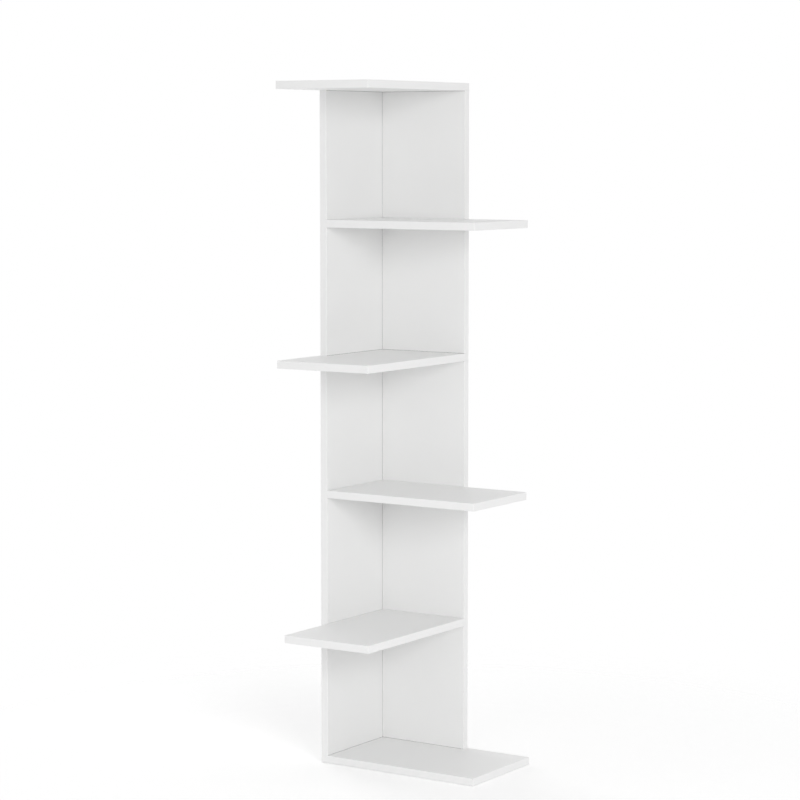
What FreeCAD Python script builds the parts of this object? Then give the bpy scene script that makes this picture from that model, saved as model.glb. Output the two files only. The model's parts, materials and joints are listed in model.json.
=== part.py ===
import FreeCAD, Part
import math
import os
import re

import Sketcher
from FreeCAD import Rotation, Vector

# Corner bookcase of edge-banded boards.
# Two pairs of upright panels stand at a right angle, against a left wall and a back wall.
# Six boards at an equal pitch project past them by turns: the top, the through shelf and the fifth
# shelf forwards, past the left panels, and the second shelf, the fourth shelf and the base sideways,
# past the right panels. The top, the through shelf and the base cover the panels' ends, and the
# other shelves butt against the panels' inner faces.
# +Z is up, +Y points at the back wall, -X at the left wall, and the origin is on the floor, under
# the middle of the square that holds the bookcase.

# Driving dimensions, in millimetres, and one angle in degrees
SIZES = {
    # Boards and their places
    "board_thickness": 15,
    "long_side": 350,
    "short_side": 208,
    "tier_pitch": 262,
    # Edge bands, and the chamfer on edges that have none
    "band_thickness": 1,
    "band_rounding": 0.8,
    "arris": 0.4,
    # Rows of holes along the panels: from the free edge, from the inner corner, and beside those
    "free_inset": 40,
    "corner_inset": 57,
    "dowel_offset": 32,
    # Play round a fastener and past its end, and how far a cut runs past what it cuts
    "fit_clearance": 0.1,
    "end_room": 1,
    "overrun": 1,
    # Dowels
    "dowel_diameter": 8,
    "dowel_length": 30,
    "dowel_seat": 10,
    "dowel_chamfer": 1,
    "through_dowel_length": 60,
    # Stepped screws
    "screw_length": 50,
    "screw_recess": 0.3,
    "screw_head_diameter": 10,
    "screw_head_rim": 0.6,
    "screw_collar_diameter": 7,
    "screw_collar_length": 12,
    "screw_core_diameter": 5,
    "screw_point_length": 3,
    "screw_point_diameter": 2,
    "socket_width": 4,
    "socket_depth": 2.6,
    # Cam locks
    "lock_reach": 24,
    "lock_diameter": 14.8,
    "lock_recess": 0.2,
    "lock_floor": 0.7,
    "lock_floor_room": 0.2,
    "lock_jaw_play": 1.4,
    "lock_throw": 0.8,
    "lock_sweep": 200,
    "driver_slot_length": 7,
    "driver_slot_width": 1.4,
    "driver_slot_depth": 2,
    # Cam bolts
    "bolt_thread_diameter": 5,
    "bolt_thread_length": 11,
    "bolt_shaft_diameter": 7,
    "bolt_shaft_play": 0.4,
    "bolt_shoulder_room": 1.5,
    "bolt_neck_diameter": 3.4,
    "bolt_head_diameter": 7,
    "bolt_head_length": 3.6,
    "bolt_head_taper": 1,
    "bolt_head_room": 0.3,
}

# Tiers, counted from the floor
BASE, FIFTH, FOURTH, THROUGH, SECOND, TOP = range(6)

# Plan lines, as formulas in the driving dimensions
LEFT = FRONT = "(-long_side / 2)"
RIGHT = BACK = "(long_side / 2)"
INNER_LEFT = f"({LEFT} + board_thickness)"
INNER_BACK = f"({BACK} - board_thickness)"
LEFT_MIDDLE = f"({LEFT} + board_thickness / 2)"
BACK_MIDDLE = f"({BACK} - board_thickness / 2)"
PANEL_FRONT = f"({BACK} - short_side)"
PANEL_RIGHT = f"({LEFT} + short_side)"

# Holes along a panel, from its free edge: the locks or screws, and a dowel beside each
FASTENER_STATIONS = ("free_inset", "(short_side - board_thickness - corner_inset)")
DOWEL_STATIONS = tuple(f"({station} + dowel_offset)" for station in FASTENER_STATIONS)

# Bores, worked out from what goes into them
DOWEL_BORE = "dowel_diameter + 2 * fit_clearance"
COLLAR_BORE = "screw_collar_diameter + 2 * fit_clearance"
CORE_BORE = "screw_core_diameter + 2 * fit_clearance"
CORE_BORE_DEPTH = "screw_recess + screw_length - board_thickness + end_room"
COUNTERSINK = "screw_head_diameter + 2 * (screw_recess + screw_head_rim + fit_clearance)"
COUNTERSINK_ANGLE = 90
LOCK_BORE = "lock_diameter + 2 * fit_clearance"
LOCK_FOOT = "(board_thickness / 2 + bolt_head_diameter / 2 + fit_clearance + lock_floor)"
THREAD_BORE = "bolt_thread_diameter + 2 * fit_clearance"
SHAFT_BORE = "max(bolt_shaft_diameter; bolt_head_diameter) + 2 * bolt_shaft_play"

# The faces of a board: the axis that each lies across, and which end of the board it is
LOW, HIGH = 0, 1
FACES = {
    "left": ("x", LOW),
    "right": ("x", HIGH),
    "front": ("y", LOW),
    "back": ("y", HIGH),
    "bottom": ("z", LOW),
    "top": ("z", HIGH),
}

# The sketch plane across each axis: its role, its own two axes, and the sign of its normal
PLANES = {
    "x": ("YZ_Plane", "yz", 1),
    "y": ("XZ_Plane", "xz", -1),
    "z": ("XY_Plane", "xy", 1),
}
UNIT = {"x": Vector(1, 0, 0), "y": Vector(0, 1, 0), "z": Vector(0, 0, 1)}

# Points within this distance are in one plane
SAME_PLACE = 0.001

doc = FreeCAD.newDocument("corner_bookcase")
sheet = doc.addObject("Spreadsheet::Sheet", "Sizes")
for row, (alias, value) in enumerate(SIZES.items(), start=1):
    sheet.set(f"A{row}", alias)
    sheet.set(f"B{row}", str(value))
    sheet.setAlias(f"B{row}", alias)
doc.recompute()

cuts = []
nodes = []
fittings = {}


def formula(text):
    """The text as an expression, with each size's name made a reference to its cell."""
    return re.sub(r"\b[a-z]\w*\b(?!\()", lambda name: f"Sizes.{name[0]}", text)


def bind(item, path, text):
    item.setExpression(path, formula(text))


def place(item, corner):
    """Binds an object's place to three formulas."""
    for axis, text in zip("xyz", corner):
        bind(item, f"Placement.Base.{axis}", text)


def add_node(label, items):
    """A sub-part of the bookcase, made of one solid or of a group of alike solids."""
    node = items[0]
    if len(items) > 1:
        node = doc.addObject("Part::Compound", label)
        node.Links = items
    node.Label = label
    nodes.append(node)


# Heights of the tiers


def under(tier):
    """The height of a tier's lower face."""
    return f"({tier} * tier_pitch)"


def over(tier):
    """The height of a tier's upper face."""
    return f"({tier} * tier_pitch + board_thickness)"


def middle(tier):
    """The height of the middle of a tier's board."""
    return f"({tier} * tier_pitch + board_thickness / 2)"


def midway(tier):
    """The height halfway between a tier's board and the next one."""
    return f"(({over(tier)} + {under(tier + 1)}) / 2)"


# Sketches and features


def new_sketch(body, name, role, offset="0"):
    """A sketch on one of the body's own planes, moved along the plane's normal."""
    sketch = body.newObject("Sketcher::SketchObject", name)
    plane = next(item for item in body.Origin.OriginFeatures if item.Role == role)
    sketch.AttachmentSupport = [(plane, "")]
    sketch.MapMode = "FlatFace"
    bind(sketch, "AttachmentOffset.Base.z", offset)
    return sketch


def constrain(sketch, kind, *where, to):
    """A dimension of a sketch that follows a formula."""
    index = sketch.addConstraint(Sketcher.Constraint(kind, *where, 1))
    bind(sketch, f"Constraints[{index}]", to)


def unit_polygon(sketch, count):
    """A closed polygon of joined edges on the unit circle, for constraints to shape."""
    angles = [2 * math.pi * step / count for step in range(count)]
    corners = [Vector(math.cos(angle), math.sin(angle), 0) for angle in angles]
    for step in range(count):
        sketch.addGeometry(Part.LineSegment(corners[step], corners[(step + 1) % count]))
    for step in range(count):
        sketch.addConstraint(Sketcher.Constraint("Coincident", step, 2, (step + 1) % count, 1))


def outline(sketch, corners):
    """A closed outline of straight edges, with its corners at pairs of formulas."""
    unit_polygon(sketch, len(corners))
    for step, (across, up) in enumerate(corners):
        constrain(sketch, "DistanceX", -1, 1, step, 1, to=across)
        constrain(sketch, "DistanceY", -1, 1, step, 1, to=up)


def hexagon(sketch, width):
    """A regular hexagon round the origin, of a width across its flats."""
    unit_polygon(sketch, 6)
    rim = sketch.addGeometry(Part.Circle(Vector(0, 0, 0), UNIT["z"], 1), True)
    sketch.addConstraint(Sketcher.Constraint("Coincident", rim, 3, -1, 1))
    for step in range(6):
        sketch.addConstraint(Sketcher.Constraint("PointOnObject", step, 1, rim))
    for step in range(5):
        sketch.addConstraint(Sketcher.Constraint("Equal", step, step + 1))
    sketch.addConstraint(Sketcher.Constraint("Horizontal", 1))
    constrain(sketch, "DistanceY", -1, 1, 1, 1, to=f"{width} / 2")


def centred_rectangle(sketch, length, width):
    """A rectangle round the origin."""
    unit_polygon(sketch, 4)
    sketch.addConstraint(Sketcher.Constraint("Symmetric", 0, 1, 2, 1, -1, 1))
    for step in (0, 2):
        sketch.addConstraint(Sketcher.Constraint("Vertical", step))
        sketch.addConstraint(Sketcher.Constraint("Horizontal", step + 1))
    constrain(sketch, "DistanceX", 2, 1, 1, 1, to=length)
    constrain(sketch, "DistanceY", 0, 1, 1, 1, to=width)


def circles(sketch, diameter, centres):
    """Equal circles with their centres at pairs of formulas."""
    for across, up in centres:
        circle = sketch.addGeometry(Part.Circle(Vector(0, 0, 0), UNIT["z"], 1))
        constrain(sketch, "Diameter", circle, to=diameter)
        constrain(sketch, "DistanceX", -1, 1, circle, 3, to=across)
        constrain(sketch, "DistanceY", -1, 1, circle, 3, to=up)


def pad(body, sketch, length):
    feature = body.newObject("PartDesign::Pad", f"{sketch.Name}_pad")
    feature.Profile = sketch
    bind(feature, "Length", length)
    doc.recompute()
    return feature


def pocket(body, sketch, depth, along_normal):
    """A cut of a set depth, or right through where no depth is given."""
    feature = body.newObject("PartDesign::Pocket", f"{sketch.Name}_cut")
    feature.Profile = sketch
    feature.Reversed = along_normal
    if depth:
        bind(feature, "Length", depth)
    else:
        feature.Type = "ThroughAll"
    doc.recompute()
    cuts.append(feature)
    return feature


def turned(name, profile):
    """A body turned about its own Z from a profile of radius and height."""
    body = doc.addObject("PartDesign::Body", name)
    sketch = new_sketch(body, f"{name}_profile", "XZ_Plane")
    outline(sketch, profile)
    feature = body.newObject("PartDesign::Revolution", f"{name}_turned")
    feature.Profile = sketch
    feature.ReferenceAxis = (sketch, ["V_Axis"])
    doc.recompute()
    return body


# Boards


class Slab:
    """A flat block with its lowest corner at its own origin, drilled at places in the bookcase."""

    def __init__(self, name, spans):
        self.name = name
        self.spans = spans
        self.sizes = {axis: f"({high} - {low})" for axis, (low, high) in spans.items()}
        self.body = doc.addObject("PartDesign::Body", name)
        plan = new_sketch(self.body, f"{name}_plan", "XY_Plane")
        wide, deep = self.sizes["x"], self.sizes["y"]
        outline(plan, [("0", "0"), (wide, "0"), (wide, deep), ("0", deep)])
        self.block = pad(self.body, plan, self.sizes["z"])
        place(self.body, [spans[axis][LOW] for axis in "xyz"])

    def edges_on(self, *faces):
        """The numbers of the block's edges that lie in any of some faces."""
        box = self.block.Shape.BoundBox
        found = set()
        for axis, end in (FACES[face] for face in faces):
            level = getattr(box, axis.upper() + ("Min", "Max")[end])
            for number, edge in enumerate(self.block.Shape.Edges, start=1):
                heights = [getattr(vertex.Point, axis) for vertex in edge.Vertexes]
                if all(abs(height - level) < SAME_PLACE for height in heights):
                    found.add(number)
        return found

    def ease(self, kind, size_name, size, edges):
        """A fillet or chamfer along some of the block's edges."""
        feature = self.body.newObject(f"PartDesign::{kind}", f"{self.name}_{kind.lower()}")
        feature.Base = (self.block, [f"Edge{number}" for number in sorted(edges)])
        bind(feature, size_name, size)
        doc.recompute()

    def hole_sketch(self, face, diameter, points):
        """Circles on a face, at pairs of places in the bookcase, and whether cuts follow its normal."""
        axis, end = FACES[face]
        role, pair, sign = PLANES[axis]
        offset = f"{sign * end} * {self.sizes[axis]}"
        sketch = new_sketch(self.body, f"{self.name}_{face}_holes", role, offset)
        starts = [self.spans[other][LOW] for other in pair]
        centres = [[f"{at} - {start}" for at, start in zip(point, starts)] for point in points]
        circles(sketch, diameter, centres)
        doc.recompute()
        return sketch, (sign > 0) == (end == LOW)

    def drill(self, face, diameter, depth, points):
        """Holes into a face, or right through where no depth is given."""
        sketch, along_normal = self.hole_sketch(face, diameter, points)
        pocket(self.body, sketch, depth, along_normal)

    def countersink(self, face, points):
        """Holes right through for stepped screws, with a seat for each head in the face."""
        sketch, along_normal = self.hole_sketch(face, COLLAR_BORE, points)
        hole = self.body.newObject("PartDesign::Hole", f"{sketch.Name}_countersunk")
        hole.Profile = sketch
        doc.recompute()
        hole.Reversed = along_normal
        hole.ThreadType = "None"
        hole.DepthType = "ThroughAll"
        bind(hole, "Diameter", COLLAR_BORE)
        hole.HoleCutType = "Countersink"
        hole.HoleCutCustomValues = True
        bind(hole, "HoleCutDiameter", COUNTERSINK)
        hole.HoleCutCountersinkAngle = COUNTERSINK_ANGLE
        doc.recompute()
        cuts.append(hole)


class Board:
    """A board: its core, a strip of band on each banded edge, and a chamfer along the bare edges.

    The board is thin along one axis, and its bands across the covering axis run over the others.
    """

    def __init__(self, label, thin, covering, banded, x, y, z):
        self.label = label
        self.thin = thin
        self.covering = covering
        self.banded = banded
        self.spans = {"x": x, "y": y, "z": z}
        self.core_spans = {axis: list(span) for axis, span in self.spans.items()}
        for axis, end in (FACES[face] for face in banded):
            inwards = ("+", "-")[end]
            self.core_spans[axis][end] = f"({self.spans[axis][end]} {inwards} band_thickness)"
        self.core = Slab(label, self.core_spans)
        self.bands = {face: self.band(face) for face in banded}
        bare = [face for face in self.rim() if face not in banded]
        if bare:
            wide = [face for face in FACES if face not in self.rim()]
            edges = self.core.edges_on(*bare) & self.core.edges_on(*wide)
            self.core.ease("Chamfer", "Size", "arris", edges)
        add_node(label, [self.core.body])
        add_node(f"{label}_edge_bands", [band.body for band in self.bands.values()])

    def rim(self):
        """The four narrow faces."""
        return [face for face in FACES if FACES[face][0] != self.thin]

    def band(self, face):
        """One strip, rounded along its outer edges and round the corners that it covers."""
        axis, end = FACES[face]
        covers = axis == self.covering
        spans = dict(self.spans if covers else self.core_spans)
        outer, inner = self.spans[axis][end], self.core_spans[axis][end]
        spans[axis] = (outer, inner) if end == LOW else (inner, outer)
        strip = Slab(f"{self.label}_{face}_band", spans)
        tips = [tip for tip in self.rim() if FACES[tip][0] != axis]
        square_tips = [tip for tip in tips if not (covers and tip in self.banded)]
        rounded = strip.edges_on(face) - strip.edges_on(*square_tips)
        strip.ease("Fillet", "Radius", "band_rounding", rounded)
        return strip

    def bore(self, face, diameter, depth, points):
        """Holes of a set depth into a face, through its band where it has one."""
        if face in self.bands:
            self.bands[face].drill(face, diameter, None, points)
            depth = f"{depth} - band_thickness"
        self.core.drill(face, diameter, depth, points)


def level_board(label, tier, covering, banded, x, y):
    return Board(label, "z", covering, banded, x, y, (under(tier), over(tier)))


def forward_board(label, tier):
    """A board over the panels' ends that projects forwards."""
    edges = ("left", "right", "front", "back")
    return level_board(label, tier, "x", edges, (LEFT, PANEL_RIGHT), (FRONT, BACK))


def sideways_board(label, tier):
    """A board under the panels' ends that projects sideways."""
    edges = ("left", "right", "front", "back")
    return level_board(label, tier, "y", edges, (LEFT, RIGHT), (PANEL_FRONT, BACK))


def forward_shelf(label, tier):
    """A shelf between the panels that projects forwards. Its back edge is bare, against a panel."""
    edges = ("left", "right", "front")
    return level_board(label, tier, "x", edges, (INNER_LEFT, PANEL_RIGHT), (FRONT, INNER_BACK))


def sideways_shelf(label, tier):
    """A shelf between the panels that projects sideways. Its left edge is bare, against a panel."""
    edges = ("right", "front", "back")
    return level_board(label, tier, "y", edges, (INNER_LEFT, RIGHT), (PANEL_FRONT, INNER_BACK))


def left_panel(label, low_tier, high_tier):
    height = (over(low_tier), under(high_tier))
    return Board(label, "x", "y", ("front", "back"), (LEFT, INNER_LEFT), (PANEL_FRONT, BACK), height)


def right_panel(label, low_tier, high_tier):
    """A panel that butts against the left one, so that its left edge is bare."""
    height = (over(low_tier), under(high_tier))
    return Board(label, "y", "x", ("right",), (INNER_LEFT, PANEL_RIGHT), (INNER_BACK, BACK), height)


# Fasteners, each along its own Z


def make_dowel(name, length):
    edge = "dowel_diameter / 2 - dowel_chamfer"
    side = "dowel_diameter / 2"
    profile = [
        ("0", "0"),
        (edge, "0"),
        (side, "dowel_chamfer"),
        (side, f"{length} - dowel_chamfer"),
        (edge, length),
        ("0", length),
    ]
    return turned(name, profile)


def make_screw():
    """A stepped screw, whose Z starts at the face that its head is sunk into."""
    head, collar = "screw_head_diameter / 2", "screw_collar_diameter / 2"
    core, point = "screw_core_diameter / 2", "screw_point_diameter / 2"
    rim = "screw_recess + screw_head_rim"
    tip = "screw_recess + screw_length"
    profile = [
        ("0", "screw_recess"),
        (head, "screw_recess"),
        (head, rim),
        (collar, f"{rim} + {head} - {collar}"),
        (collar, "screw_recess + screw_collar_length"),
        (core, "screw_recess + screw_collar_length"),
        (core, f"{tip} - screw_point_length"),
        (point, tip),
        ("0", tip),
    ]
    body = turned("stepped_screw", profile)
    socket = new_sketch(body, "screw_socket", "XY_Plane", "screw_recess")
    hexagon(socket, "socket_width")
    pocket(body, socket, "socket_depth", True)
    return body


def sweep_lock_cut(body, name, offset, reach, half_height):
    """A cut in a cam lock, swept about an upright axis that lies off the lock's own, along its Y."""
    low, high = f"board_thickness / 2 - {half_height}", f"board_thickness / 2 + {half_height}"
    profile = new_sketch(body, name, "XZ_Plane", f"-{offset}")
    outline(profile, [("0", low), (reach, low), (reach, high), ("0", high)])
    groove = body.newObject("PartDesign::Groove", f"{name}_swept")
    groove.Profile = profile
    groove.ReferenceAxis = (profile, ["V_Axis"])
    groove.Midplane = True
    bind(groove, "Angle", "lock_sweep")
    doc.recompute()
    cuts.append(groove)


def make_lock():
    """A cam lock, whose Z starts at the panel's face, shown turned shut on a bolt along its X.

    The bolt's head goes in along Y. It is held in a hollow that lies off the lock's axis, so that
    turning the lock draws it in, while its neck runs in a narrow slot round the rim.
    """
    body = doc.addObject("PartDesign::Body", "cam_lock")
    rim = new_sketch(body, "lock_rim", "XY_Plane", "lock_recess")
    circles(rim, "lock_diameter", [("0", "0")])
    pad(body, rim, f"{LOCK_FOOT} - lock_recess")
    past_rim = "lock_diameter / 2 + overrun"
    jaw = "bolt_head_diameter / 2 + lock_jaw_play"
    sweep_lock_cut(body, "lock_slot", "0", past_rim, "(bolt_neck_diameter / 2 + fit_clearance)")
    sweep_lock_cut(body, "lock_hollow", "lock_throw", jaw, "(bolt_head_diameter / 2 + fit_clearance)")
    entry = new_sketch(body, "lock_entry", "XZ_Plane")
    circles(entry, "bolt_head_diameter + 2 * fit_clearance", [("0", "board_thickness / 2")])
    pocket(body, entry, None, False)
    slot = ("driver_slot_length", "driver_slot_width")
    for name, sides in (("lock_driver_slot", slot), ("lock_driver_cross_slot", slot[::-1])):
        driver = new_sketch(body, name, "XY_Plane", "lock_recess")
        centred_rectangle(driver, *sides)
        pocket(body, driver, "driver_slot_depth", True)
    return body


# A cam bolt's head and neck, from the tip of the head to the shoulder of the shaft
BOLT_SHAFT = "bolt_shaft_diameter / 2"
BOLT_HEAD = "bolt_head_diameter / 2"
BOLT_NECK = "bolt_neck_diameter / 2"
BOLT_GRIP = "(lock_reach - bolt_head_room)"
BOLT_SHOULDER = f"({BOLT_GRIP} - lock_diameter / 2 - bolt_shoulder_room)"
BOLT_END = [
    (f"{BOLT_HEAD} - bolt_head_taper", "0"),
    (BOLT_HEAD, "bolt_head_taper"),
    (BOLT_HEAD, "(bolt_head_length - bolt_head_taper)"),
    (BOLT_NECK, "bolt_head_length"),
    (BOLT_NECK, BOLT_SHOULDER),
    (BOLT_SHAFT, BOLT_SHOULDER),
]


def make_bolt():
    """A cam bolt with a thread, whose Z starts at the tip of its head."""
    thread = "bolt_thread_diameter / 2"
    tip = f"{BOLT_GRIP} + bolt_thread_length"
    thread_end = [(BOLT_SHAFT, BOLT_GRIP), (thread, BOLT_GRIP), (thread, tip)]
    return turned("cam_bolt", [("0", "0"), *BOLT_END, *thread_end, ("0", tip)])


def make_double_bolt():
    """A cam bolt with a head at both ends, for two locks on either side of a board."""
    length = f"(2 * {BOLT_GRIP} + board_thickness)"
    far_end = [(radius, f"{length} - {height}") for radius, height in reversed(BOLT_END)]
    return turned("double_cam_bolt", [("0", "0"), *BOLT_END, *far_end, ("0", length)])


def add_fitting(label, template, inwards, towards, point):
    """One more of a group of fasteners, with its Z pointing inwards and its X towards a joint."""
    link = doc.addObject("App::Link", f"{label}_copy")
    link.LinkedObject = template
    link.Placement.Rotation = Rotation(towards, inwards.cross(towards), inwards, "ZXY")
    place(link, point)
    fittings.setdefault(label, []).append(link)


# Joints


def plan_points(wall, stations):
    """Places in plan on the middle of a wall's panels."""
    if wall == "left":
        return [(LEFT_MIDDLE, f"({PANEL_FRONT} + {station})") for station in stations]
    return [(f"({PANEL_RIGHT} - {station})", BACK_MIDDLE) for station in stations]


def inwards_from(face):
    axis, end = FACES[face]
    return UNIT[axis] * (1 - 2 * end)


def on_face(board, face, pair):
    """A pair of places on a face, as a point in the bookcase."""
    axis, end = FACES[face]
    point = dict(zip(PLANES[axis][1], pair))
    point[axis] = board.spans[axis][end]
    return [point[name] for name in "xyz"]


def screw_joint(label, outer, face, inner, points):
    """Stepped screws through one board's face into another's edge on the same side."""
    outer.core.countersink(face, points)
    inner.bore(face, CORE_BORE, CORE_BORE_DEPTH, points)
    inwards = inwards_from(face)
    across = UNIT[PLANES[FACES[face][0]][1][0]]
    for pair in points:
        add_fitting(label, screw, inwards, across, on_face(outer, face, pair))


def shelf_joint(label, tier, shelf, left, right):
    """A shelf screwed to both panels, through their wall faces."""
    left_pairs = [(y, middle(tier)) for _, y in plan_points("left", FASTENER_STATIONS)]
    back_pairs = [(x, middle(tier)) for x, _ in plan_points("back", FASTENER_STATIONS)]
    screw_joint(label, left, "left", shelf, left_pairs)
    screw_joint(label, right, "back", shelf, back_pairs)


def lock_joint(label, panel, wall, end):
    """Cam locks in a panel's wall face, and the bores for their bolts in its end."""
    points = plan_points(wall, FASTENER_STATIONS)
    panel.bore(end, SHAFT_BORE, "lock_reach", points)
    edge = panel.spans["z"][FACES[end][1]]
    inside = ("+", "-")[FACES[end][1]]
    height = f"({edge} {inside} lock_reach)"
    along = {"left": 1, "back": 0}[wall]
    pairs = [(point[along], height) for point in points]
    panel.core.drill(wall, LOCK_BORE, f"{LOCK_FOOT} + lock_floor_room", pairs)
    for pair in pairs:
        add_fitting(label, lock, inwards_from(wall), -inwards_from(end), on_face(panel, wall, pair))


def stand_fitting(label, template, points, height):
    """Fasteners that stand upright at places in plan, from a height up."""
    for x, y in points:
        add_fitting(label, template, UNIT["z"], UNIT["x"], (x, y, height))


def top_joint(panel, wall):
    """The top's joint to a panel: cam bolts screwed into the top, and dowels."""
    bolt_points = plan_points(wall, FASTENER_STATIONS)
    dowel_points = plan_points(wall, DOWEL_STATIONS)
    lock_joint("cam_locks_under_top", panel, wall, "top")
    top.bore("bottom", THREAD_BORE, "bolt_thread_length + end_room", bolt_points)
    stand_fitting("top_cam_bolts", bolt, bolt_points, f"{under(TOP)} - {BOLT_GRIP}")
    top.bore("bottom", DOWEL_BORE, "dowel_seat + end_room", dowel_points)
    panel.bore("top", DOWEL_BORE, "dowel_length - dowel_seat + end_room", dowel_points)
    stand_fitting("top_dowels", dowel, dowel_points, f"{under(TOP)} + dowel_seat - dowel_length")


def through_joint(upper, lower, wall):
    """The through shelf's joint to the panels over and under it: double bolts and long dowels."""
    bolt_points = plan_points(wall, FASTENER_STATIONS)
    dowel_points = plan_points(wall, DOWEL_STATIONS)
    lock_joint("cam_locks_over_through_shelf", upper, wall, "bottom")
    lock_joint("cam_locks_under_through_shelf", lower, wall, "top")
    through.core.drill("bottom", SHAFT_BORE, None, bolt_points)
    stand_fitting("through_cam_bolts", double_bolt, bolt_points, f"{under(THROUGH)} - {BOLT_GRIP}")
    through.core.drill("bottom", DOWEL_BORE, None, dowel_points)
    seat = "(through_dowel_length - board_thickness) / 2"
    for panel, end in ((upper, "bottom"), (lower, "top")):
        panel.bore(end, DOWEL_BORE, f"{seat} + end_room", dowel_points)
    stand_fitting("through_dowels", through_dowel, dowel_points, f"{under(THROUGH)} - {seat}")


def base_joint(panel, wall):
    """The base's joint to a panel: screws from below, and dowels."""
    dowel_points = plan_points(wall, DOWEL_STATIONS)
    screw_joint("base_screws", base, "bottom", panel, plan_points(wall, FASTENER_STATIONS))
    base.bore("top", DOWEL_BORE, "dowel_seat + end_room", dowel_points)
    panel.bore("bottom", DOWEL_BORE, "dowel_length - dowel_seat + end_room", dowel_points)
    stand_fitting("base_dowels", dowel, dowel_points, f"{over(BASE)} - dowel_seat")


def corner_joint(label, left, right, tiers):
    """Screws through a left panel into the end of the right one, midway up each tier."""
    screw_joint(label, left, "left", right, [(BACK_MIDDLE, midway(tier)) for tier in tiers])


# The bookcase

top = forward_board("top_board", TOP)
second = sideways_shelf("second_shelf", SECOND)
through = forward_board("through_shelf", THROUGH)
fourth = sideways_shelf("fourth_shelf", FOURTH)
fifth = forward_shelf("fifth_shelf", FIFTH)
base = sideways_board("base_board", BASE)
upper_left = left_panel("upper_left_panel", THROUGH, TOP)
upper_right = right_panel("upper_right_panel", THROUGH, TOP)
lower_left = left_panel("lower_left_panel", BASE, THROUGH)
lower_right = right_panel("lower_right_panel", BASE, THROUGH)

dowel = make_dowel("dowel", "dowel_length")
through_dowel = make_dowel("long_dowel", "through_dowel_length")
screw = make_screw()
lock = make_lock()
bolt = make_bolt()
double_bolt = make_double_bolt()

for wall, upper, lower in (("left", upper_left, lower_left), ("back", upper_right, lower_right)):
    top_joint(upper, wall)
    through_joint(upper, lower, wall)
    base_joint(lower, wall)
shelf_joint("second_shelf_screws", SECOND, second, upper_left, upper_right)
shelf_joint("fourth_shelf_screws", FOURTH, fourth, lower_left, lower_right)
shelf_joint("fifth_shelf_screws", FIFTH, fifth, lower_left, lower_right)
corner_joint("upper_corner_screws", upper_left, upper_right, (THROUGH, SECOND))
corner_joint("lower_corner_screws", lower_left, lower_right, (BASE, FIFTH, FOURTH))
for label, links in fittings.items():
    add_node(label, links)
doc.recompute()

# Nothing is written unless every object is sound, every sketch is held in full by its dimensions, and
# every cut has taken something away

for item in doc.Objects:
    if {"Invalid", "Error"} & set(item.State):
        raise RuntimeError(f"{item.Label} failed: {item.State}")
    if item.isDerivedFrom("Sketcher::SketchObject") and not item.FullyConstrained:
        raise RuntimeError(f"{item.Label} can still move")
for cut in cuts:
    if cut.Shape.Volume >= cut.BaseFeature.Shape.Volume:
        raise RuntimeError(f"{cut.Label} cuts nothing")
for node in nodes:
    if node.Shape.isNull() or not node.Shape.isValid():
        raise RuntimeError(f"{node.Label} has no valid shape")

os.makedirs("parts", exist_ok=True)
for node in nodes:
    node.Shape.exportStep(f"parts/{node.Label}.step")
    print(f"{node.Label}: {len(node.Shape.Solids)} solids, {node.Shape.Volume:.0f} mm3")
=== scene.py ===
import json
import math

import bmesh
import bpy
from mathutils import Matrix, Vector


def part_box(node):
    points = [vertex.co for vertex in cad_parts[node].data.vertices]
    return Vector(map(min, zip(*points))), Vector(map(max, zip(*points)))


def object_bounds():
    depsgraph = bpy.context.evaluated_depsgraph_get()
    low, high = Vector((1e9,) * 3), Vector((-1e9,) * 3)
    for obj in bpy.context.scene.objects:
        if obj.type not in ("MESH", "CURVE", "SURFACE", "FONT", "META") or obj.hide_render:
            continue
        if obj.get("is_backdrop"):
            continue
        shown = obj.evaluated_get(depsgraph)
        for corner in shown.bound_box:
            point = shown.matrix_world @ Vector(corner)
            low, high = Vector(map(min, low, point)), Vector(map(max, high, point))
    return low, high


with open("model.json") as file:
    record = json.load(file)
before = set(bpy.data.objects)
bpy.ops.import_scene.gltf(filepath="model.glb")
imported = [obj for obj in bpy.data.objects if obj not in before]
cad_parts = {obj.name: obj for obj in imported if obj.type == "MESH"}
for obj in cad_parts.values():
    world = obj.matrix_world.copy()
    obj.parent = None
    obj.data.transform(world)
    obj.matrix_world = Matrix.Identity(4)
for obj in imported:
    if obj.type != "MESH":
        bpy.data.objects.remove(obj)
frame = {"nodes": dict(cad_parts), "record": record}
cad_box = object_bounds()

# Looks of the corner bookcase: white melamine board, edge band, zinc fittings and beech dowels.
# Everything is in metres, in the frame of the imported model.

MILLIMETRE = 0.001
MICRON = 0.000001

# Camera, at the photograph's viewing angle
CAMERA_PLACE = (2.6832, -4.0826, 1.2063)
CAMERA_YAW = 33.434
CAMERA_PITCH = 5.668
CAMERA_LENS = 115.72

# Light: an even sky that is brighter overhead, and softboxes, each with its bearing from the front
# to the right and its height, in degrees, its distance, its size and its watts
SKY_LEVEL = 0.407
SKY_OVERHEAD = 0.42
SOFTBOXES = {
    "key": (53, 12, 5.0, 1.8, 94),
    "fill": (5, 8, 3.6, 2.4, 11.6),
    "rear": (240, 3, 3.6, 1.6, 44),
}

# Floor
FLOOR_RADIUS = 3.0
FLOOR_SIDES = 96
FLOOR_DROP = 0.2 * MILLIMETRE
FLOOR_GREY = (0.95, 0.95, 0.95, 1)
FLOOR_LIFT = 0.11
FADE_START = 0.45
FADE_END = 1.3

WHITE = (1, 1, 1, 1)

# Sockets that share their name with others on the same node, by number
MIX_SHARE, MIX_FIRST, MIX_SECOND = 0, 6, 7
MIX_COLOUR = 2


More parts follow.
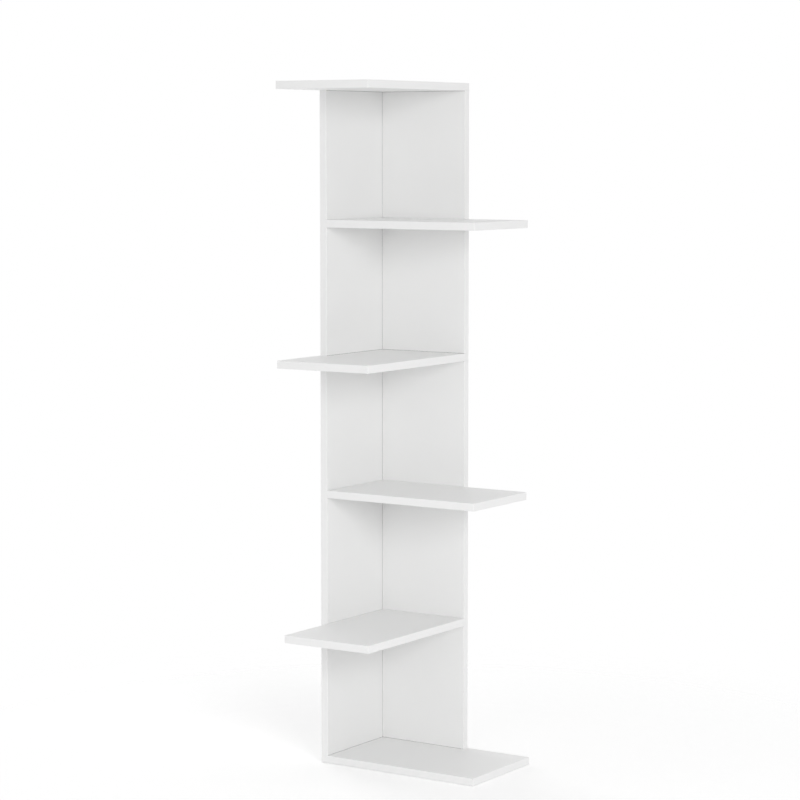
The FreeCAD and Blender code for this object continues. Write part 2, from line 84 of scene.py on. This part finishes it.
class Wire:
    """One output of a shader node. Arithmetic on it adds Math nodes."""

    def __init__(self, shader, socket):
        self.shader = shader
        self.socket = socket

    def maths(self, operation, *inputs):
        return self.shader.node("ShaderNodeMath", {"operation": operation}, dict(enumerate(inputs)))[0]

    def __add__(self, other):
        return self.maths("ADD", self, other)

    def __sub__(self, other):
        return self.maths("SUBTRACT", self, other)

    def __rsub__(self, other):
        return self.maths("SUBTRACT", other, self)

    def __mul__(self, other):
        return self.maths("MULTIPLY", self, other)

    def __abs__(self):
        return self.maths("ABSOLUTE", self)

    __radd__ = __add__
    __rmul__ = __mul__

    def at_least(self, other):
        return self.maths("MAXIMUM", self, other)


class Shader:
    """The nodes of a material or of the world."""

    def __init__(self, owner):
        owner.use_nodes = True
        self.tree = owner.node_tree
        self.tree.nodes.clear()

    def node(self, kind, settings, sockets):
        """A new node with its settings, then its sockets' values or wires. Returns its outputs."""
        node = self.tree.nodes.new(kind)
        for name, value in settings.items():
            setattr(node, name, value)
        for key, value in sockets.items():
            if isinstance(value, Wire):
                self.tree.links.new(value.socket, node.inputs[key])
            else:
                node.inputs[key].default_value = value
        return [Wire(self, output) for output in node.outputs]

    def named(self, name, kind, settings, sockets):
        """A new node. Returns its output of the given name."""
        outputs = self.node(kind, settings, sockets)
        return next(wire for wire in outputs if wire.socket.name == name)

    def place(self):
        """Where a point is in the bookcase."""
        return self.named("Object", "ShaderNodeTexCoord", {}, {})

    def split(self, vector):
        return self.node("ShaderNodeSeparateXYZ", {}, {0: vector})

    def stretch(self, vector, scale):
        return self.node("ShaderNodeMapping", {}, {"Vector": vector, "Scale": scale})[0]

    def noise(self, vector, grain, detail=2.0):
        """Smooth noise from 0 to 1, with spots of about the given size."""
        sockets = {"Vector": vector, "Scale": 1 / grain, "Detail": detail}
        return self.node("ShaderNodeTexNoise", {}, sockets)[0]

    def cells(self, vector, grain):
        """A random number for each cell of about the given size."""
        colour = self.named("Color", "ShaderNodeTexVoronoi", {}, {"Vector": vector, "Scale": 1 / grain})
        return self.split(colour)[0]

    def step(self, value, start, end):
        """A smooth step from 0 to 1 between two values."""
        sockets = {"Value": value, "From Min": start, "From Max": end}
        return self.node("ShaderNodeMapRange", {"interpolation_type": "SMOOTHSTEP"}, sockets)[0]

    def blend(self, share, first, second):
        """The first colour, turning into the second as the share goes from 0 to 1."""
        sockets = {MIX_SHARE: share, MIX_FIRST: first, MIX_SECOND: second}
        return self.node("ShaderNodeMix", {"data_type": "RGBA"}, sockets)[MIX_COLOUR]

    def relief(self, height, depth):
        """A normal from a height of 0 to 1, as deep as given."""
        return self.node("ShaderNodeBump", {}, {"Height": height, "Distance": depth})[0]

    def join(self, share, first, second):
        return self.node("ShaderNodeMixShader", {}, {0: share, 1: first, 2: second})[0]

    def surface(self, shade):
        self.node("ShaderNodeOutputMaterial", {}, {"Surface": shade})

    def plain_surface(self, **sockets):
        """A Principled surface, with its sockets named in lower case."""
        named = {name.replace("_", " ").title(): value for name, value in sockets.items()}
        self.surface(self.node("ShaderNodeBsdfPrincipled", {}, named)[0])


def weigh(first, second, share):
    """Two values together, the second of them with the given share."""
    return first * (1 - share) + second * share


def new_material(name):
    material = bpy.data.materials.new(name)
    return material, Shader(material)


def thin_axis(low, high):
    return min(range(3), key=lambda axis: high[axis] - low[axis])


def rims_across(axis):
    """The two axes along a board's wide faces."""
    return [other for other in range(3) if other != axis]


def names_of(slot):
    """The CAD nodes with a material slot of the record."""
    return [part["node"] for part in frame["record"]["subparts"] if part["material_slot"] == slot]


def bands_of(board):
    return f"{board}_edge_bands"


def whole_box(board):
    """The lowest and highest corners of a board with its edge bands."""
    low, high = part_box(board)
    band_low, band_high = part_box(bands_of(board))
    return [min(pair) for pair in zip(low, band_low)], [max(pair) for pair in zip(high, band_high)]


# Finishes

# Melamine board: its paper, its arrises, and the pearl grain, clouds and smears on it, with painted
# shade in the pearl's pits
PAPER = 0.15 * MILLIMETRE
ARRIS = 0.4 * MILLIMETRE
EDGE_BLUR = 0.05 * MILLIMETRE
JOINT_INSET = 0.2 * MILLIMETRE
# Painted shadow: a dark colour on bare arrises and under touching boards, standing in for the shade in
# the gaps between boards
PAINTED_GAP_SHADOW = (0.11, 0.105, 0.10, 1)
MELAMINE_WHITE = (0.875, 0.875, 0.871, 1)
# The darker colour is random tone in the clouds and painted shade in the pearl's pits
MELAMINE_TONE_AND_PIT_SHADE = (0.831, 0.832, 0.830, 1)
MELAMINE_ROUGHNESS = 0.36
PEARL_SIZE = 1.1 * MILLIMETRE
PEARL_DEPTH = 150 * MICRON
PEARL_PIT_SHADE_SHARE = 0.7
PEARL_DULLING = 0.06
CLOUD_SIZE = 180 * MILLIMETRE
SMEAR_SIZE = 35 * MILLIMETRE
SMEAR_DULLING = 0.08

# Chipboard, where a board is bare, with its pits as multiples of the pearl's depth
CHIP_PALE = (0.62, 0.49, 0.33, 1)
CHIP_DARK = (0.33, 0.22, 0.12, 1)
FLAKE_SIZE = 1.6 * MILLIMETRE
FLAKE_SHARE = 0.7
FLAKE_PITS = 2
BARE_DULLING = 0.5

# Edge band and its glue line
BAND_WHITE = (0.880, 0.880, 0.877, 1)
BAND_SHADE = (0.858, 0.858, 0.857, 1)
BAND_ROUGHNESS = 0.3
BAND_CLOUD_SIZE = 120 * MILLIMETRE
LINE_WIDTH = 0.25 * MILLIMETRE
LINE_LENGTH = 60 * MILLIMETRE
LINE_DEPTH = 8 * MICRON
LINE_SHARE = 0.4
LINE_DULLING = 0.12
GLUE = (0.60, 0.58, 0.53, 1)
GLUE_START = 0.04 * MILLIMETRE
GLUE_END = 0.12 * MILLIMETRE

# Die-cast zinc
ZINC_PALE = (0.56, 0.57, 0.59, 1)
ZINC_DARK = (0.36, 0.37, 0.39, 1)
ZINC_ROUGHNESS = 0.38
ZINC_GRAIN_SIZE = 0.35 * MILLIMETRE
ZINC_GRAIN_DETAIL = 3.0
ZINC_GRAIN_DEPTH = 18 * MICRON
ZINC_GRAIN_DULLING = 0.16
ZINC_FLOW_SIZE = 4 * MILLIMETRE
ZINC_FLOW_SHARE = 0.6

# Zinc plating
PLATE_COOL = (0.57, 0.59, 0.63, 1)
PLATE_WARM = (0.61, 0.60, 0.56, 1)
PLATE_ROUGHNESS = 0.22
PLATE_TINT_SIZE = 3 * MILLIMETRE
PLATE_GRAIN_SIZE = 0.25 * MILLIMETRE
PLATE_GRAIN_DEPTH = 6 * MICRON
PLATE_GRAIN_DULLING = 0.14

# Beech, with its grain and flecks drawn out upright
BEECH_PALE = (0.74, 0.56, 0.38, 1)
BEECH_DARK = (0.58, 0.39, 0.23, 1)
BEECH_FLECK = (0.45, 0.28, 0.15, 1)
BEECH_ROUGHNESS = 0.55
BEECH_GRAIN_SIZE = 0.9 * MILLIMETRE
BEECH_GRAIN_STRETCH = (1, 1, 0.05)
BEECH_GRAIN_DEPTH = 40 * MICRON
BEECH_GRAIN_DULLING = 0.2
FLECK_SIZE = 0.5 * MILLIMETRE
FLECK_STRETCH = (1, 1, 0.25)
FLECK_START = 0.88
FLECK_END = 0.96


def past_rims(parts, low, high, rims):
    """How far a point is past the nearest rim of a box along two axes, less than 0 inside it."""
    first, second = (
        abs(parts[rim] - (low[rim] + high[rim]) / 2) - (high[rim] - low[rim]) / 2
        for rim in rims
    )
    return first.at_least(second)


def cut_edges(shader, name, parts):
    """For each edge of a board's core that has no band, 1 on its cut face and its arris."""
    low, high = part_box(name)
    whole_low, whole_high = whole_box(name)
    axis = thin_axis(low, high)
    for rim in rims_across(axis):
        if low[rim] - whole_low[rim] < EDGE_BLUR:
            yield 1 - shader.step(parts[rim] - low[rim], ARRIS - EDGE_BLUR, ARRIS)
        if whole_high[rim] - high[rim] < EDGE_BLUR:
            yield 1 - shader.step(high[rim] - parts[rim], ARRIS - EDGE_BLUR, ARRIS)


def covered_places(shader, name, parts):
    """For each board that stands against a wide face of this one, 1 where it covers the face."""
    low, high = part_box(name)
    axis = thin_axis(low, high)
    rims = rims_across(axis)
    for other in names_of("white_melamine_board"):
        other_low, other_high = whole_box(other)
        overlaps = all(other_low[rim] < high[rim] and other_high[rim] > low[rim] for rim in rims)
        for side, gap in ((1, other_low[axis] - high[axis]), (-1, low[axis] - other_high[axis])):
            if overlaps and abs(gap) < EDGE_BLUR:
                past = past_rims(parts, other_low, other_high, rims)
                inside = 1 - shader.step(past, -JOINT_INSET, -EDGE_BLUR)
                outwards = (parts[axis] - (low[axis] + high[axis]) / 2) * side
                yield inside * shader.step(outwards, 0, EDGE_BLUR)


def painted_gap_shadow_lines(shader, name, parts):
    """1 in the narrow lines where boards meet, on bare arrises and at touching faces, where shadow is
    painted.
    """
    lines = [*cut_edges(shader, name, parts), *covered_places(shader, name, parts)]
    joined = lines[0]
    for line in lines[1:]:
        joined = joined.at_least(line)
    return joined


def melamine(name):
    """White pearl-finished melamine on a board's wide faces, with painted shade in the pearl's pits,
    chipboard in its holes, and painted shadow in the joints.
    """
    material, shader = new_material(f"{name}_melamine")
    low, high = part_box(name)
    axis = thin_axis(low, high)
    place = shader.place()
    parts = shader.split(place)
    middle = (low[axis] + high[axis]) / 2
    half = (high[axis] - low[axis]) / 2
    depth = half - abs(parts[axis] - middle)
    bare = shader.step(depth, PAPER, PAPER + EDGE_BLUR)
    painted_gap_shadow_mask = painted_gap_shadow_lines(shader, name, parts)
    pearl = shader.noise(place, PEARL_SIZE)
    clouds = shader.noise(place, CLOUD_SIZE)
    smears = shader.noise(place, SMEAR_SIZE)
    # Darker in random clouds and, as painted shade, in the pearl's pits
    white = shader.blend(weigh(clouds, pearl, PEARL_PIT_SHADE_SHARE), MELAMINE_WHITE, MELAMINE_TONE_AND_PIT_SHADE)
    flakes = shader.cells(place, FLAKE_SIZE)
    chip = shader.blend(weigh(pearl, flakes, FLAKE_SHARE), CHIP_PALE, CHIP_DARK)
    smooth = MELAMINE_ROUGHNESS + smears * SMEAR_DULLING + pearl * PEARL_DULLING
    pits = pearl + flakes * bare * FLAKE_PITS
    shader.plain_surface(
        # The base colour carries painted shadow in the joint lines
        base_color=shader.blend(painted_gap_shadow_mask, shader.blend(bare, white, chip), PAINTED_GAP_SHADOW),
        roughness=smooth + bare.at_least(painted_gap_shadow_mask) * BARE_DULLING,
        normal=shader.relief(0 - pits, PEARL_DEPTH),
    )
    return material


def edge_band(name, board):
    """White plastic band with fine lines along it, and a line of glue against the board."""
    material, shader = new_material(f"{name}_plastic")
    low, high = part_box(board)
    axis = thin_axis(low, high)
    place = shader.place()
    parts = shader.split(place)
    gap = past_rims(parts, low, high, rims_across(axis))
    glue = 1 - shader.step(gap, GLUE_START, GLUE_END)
    across, along = 1 / LINE_WIDTH, 1 / LINE_LENGTH
    scale = (along, along, across) if axis == 2 else (across, across, along)
    lines = shader.noise(shader.stretch(place, scale), 1.0)
    clouds = shader.noise(place, BAND_CLOUD_SIZE)
    white = shader.blend(weigh(clouds, lines, LINE_SHARE), BAND_WHITE, BAND_SHADE)
    shader.plain_surface(
        base_color=shader.blend(glue, white, GLUE),
        roughness=BAND_ROUGHNESS + lines * LINE_DULLING,
        normal=shader.relief(lines, LINE_DEPTH),
    )
    return material


def zinc_casting():
    """Matte die-cast zinc with a fine grain."""
    material, shader = new_material("zinc_casting")
    place = shader.place()
    grain = shader.noise(place, ZINC_GRAIN_SIZE, ZINC_GRAIN_DETAIL)
    flow = shader.noise(place, ZINC_FLOW_SIZE)
    shader.plain_surface(
        base_color=shader.blend(weigh(grain, flow, ZINC_FLOW_SHARE), ZINC_PALE, ZINC_DARK),
        metallic=1.0,
        roughness=ZINC_ROUGHNESS + grain * ZINC_GRAIN_DULLING,
        normal=shader.relief(grain, ZINC_GRAIN_DEPTH),
    )
    return material


def zinc_plate():
    """Bright zinc plating with faint cool and warm tints."""
    material, shader = new_material("zinc_plate")
    place = shader.place()
    tint = shader.noise(place, PLATE_TINT_SIZE)
    grain = shader.noise(place, PLATE_GRAIN_SIZE)
    shader.plain_surface(
        base_color=shader.blend(tint, PLATE_COOL, PLATE_WARM),
        metallic=1.0,
        roughness=PLATE_ROUGHNESS + grain * PLATE_GRAIN_DULLING,
        normal=shader.relief(grain, PLATE_GRAIN_DEPTH),
    )
    return material


def beech():
    """Beech with its grain upright and short dark flecks."""
    material, shader = new_material("beech")
    place = shader.place()
    grain = shader.noise(shader.stretch(place, BEECH_GRAIN_STRETCH), BEECH_GRAIN_SIZE)
    flecks = shader.cells(shader.stretch(place, FLECK_STRETCH), FLECK_SIZE)
    wood = shader.blend(grain, BEECH_PALE, BEECH_DARK)
    shader.plain_surface(
        base_color=shader.blend(shader.step(flecks, FLECK_START, FLECK_END), wood, BEECH_FLECK),
        roughness=BEECH_ROUGHNESS + grain * BEECH_GRAIN_DULLING,
        normal=shader.relief(grain, BEECH_GRAIN_DEPTH),
    )
    return material


def finish_cad_nodes():
    """Gives each CAD node the finish of its slot in the record."""
    shared = {
        "zinc_die_casting": zinc_casting(),
        "zinc_plated_steel": zinc_plate(),
        "beech_dowel": beech(),
    }
    for part in frame["record"]["subparts"]:
        name, slot = part["node"], part["material_slot"]
        if slot == "white_melamine_board":
            material = melamine(name)
        elif slot == "white_edge_band":
            material = edge_band(name, name.removesuffix(bands_of("")))
        else:
            material = shared[slot]
        slots = frame["nodes"][name].data.materials
        slots.clear()
        slots.append(material)


# Stage


def seen_directly(shader):
    """1 on rays from the camera and on those that it sees in mirrors or through glass."""
    path = shader.node("ShaderNodeLightPath", {}, {})
    by_name = {wire.socket.name: wire for wire in path}
    seen = by_name["Is Camera Ray"].at_least(by_name["Is Glossy Ray"])
    return seen.at_least(by_name["Is Transmission Ray"])


def make_floor():
    """A pale round floor that fades into the white background."""
    form = bmesh.new()
    bmesh.ops.create_circle(form, cap_ends=True, segments=FLOOR_SIDES, radius=FLOOR_RADIUS)
    bmesh.ops.translate(form, verts=form.verts, vec=(0, 0, -FLOOR_DROP))
    mesh = bpy.data.meshes.new("floor")
    form.to_mesh(mesh)
    form.free()
    floor = bpy.data.objects.new("floor", mesh)
    bpy.context.scene.collection.objects.link(floor)
    floor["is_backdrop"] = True
    material, shader = new_material("floor_white")
    length = {"operation": "LENGTH"}
    distance = shader.named("Value", "ShaderNodeVectorMath", length, {"Vector": shader.place()})
    faded = shader.step(distance, FADE_START, FADE_END)
    white = shader.node("ShaderNodeBsdfDiffuse", {}, {"Color": WHITE})[0]
    lift = shader.node("ShaderNodeEmission", {}, {"Color": WHITE, "Strength": FLOOR_LIFT})[0]
    lit = shader.node("ShaderNodeAddShader", {}, {0: white, 1: lift})[0]
    clear = shader.node("ShaderNodeBsdfTransparent", {}, {})[0]
    grey = shader.node("ShaderNodeBsdfDiffuse", {}, {"Color": FLOOR_GREY})[0]
    shader.surface(shader.join(seen_directly(shader), grey, shader.join(faded, lit, clear)))
    mesh.materials.append(material)


def make_world():
    """Soft light from all round, more of it from above, and a white background."""
    world = bpy.data.worlds.new("studio")
    bpy.context.scene.world = world
    shader = Shader(world)
    _, _, up = shader.split(shader.named("Generated", "ShaderNodeTexCoord", {}, {}))
    level = SKY_LEVEL + up.at_least(0) * SKY_OVERHEAD
    sky = shader.node("ShaderNodeBackground", {}, {"Color": WHITE, "Strength": level})[0]
    backdrop = shader.node("ShaderNodeBackground", {}, {"Color": WHITE, "Strength": 1.0})[0]
    shade = shader.join(seen_directly(shader), sky, backdrop)
    shader.node("ShaderNodeOutputWorld", {}, {"Surface": shade})


def make_softbox(name, bearing, height, distance, size, watts):
    """A square soft light, aimed at the middle of the bookcase, that shiny faces don't mirror."""
    light = bpy.data.lights.new(name, "AREA")
    light.size = size
    light.energy = watts
    lamp = bpy.data.objects.new(name, light)
    lamp.rotation_euler = (math.radians(90 - height), 0, math.radians(bearing))
    outwards = lamp.rotation_euler.to_matrix() @ Vector((0, 0, 1))
    lamp.location = (cad_box[0] + cad_box[1]) / 2 + outwards * distance
    lamp.visible_glossy = False
    bpy.context.scene.collection.objects.link(lamp)


def make_camera():
    lens = bpy.data.cameras.new("camera")
    lens.lens = CAMERA_LENS
    camera = bpy.data.objects.new("camera", lens)
    camera.location = CAMERA_PLACE
    camera.rotation_euler = (math.radians(90 - CAMERA_PITCH), 0, math.radians(CAMERA_YAW))
    bpy.context.scene.collection.objects.link(camera)
    bpy.context.scene.camera = camera


finish_cad_nodes()
make_floor()
make_world()
for name, setting in SOFTBOXES.items():
    make_softbox(name, *setting)
make_camera()
bpy.context.scene.view_settings.view_transform = "Standard"

[[list(corner) for corner in box] for box in (cad_box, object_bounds())]
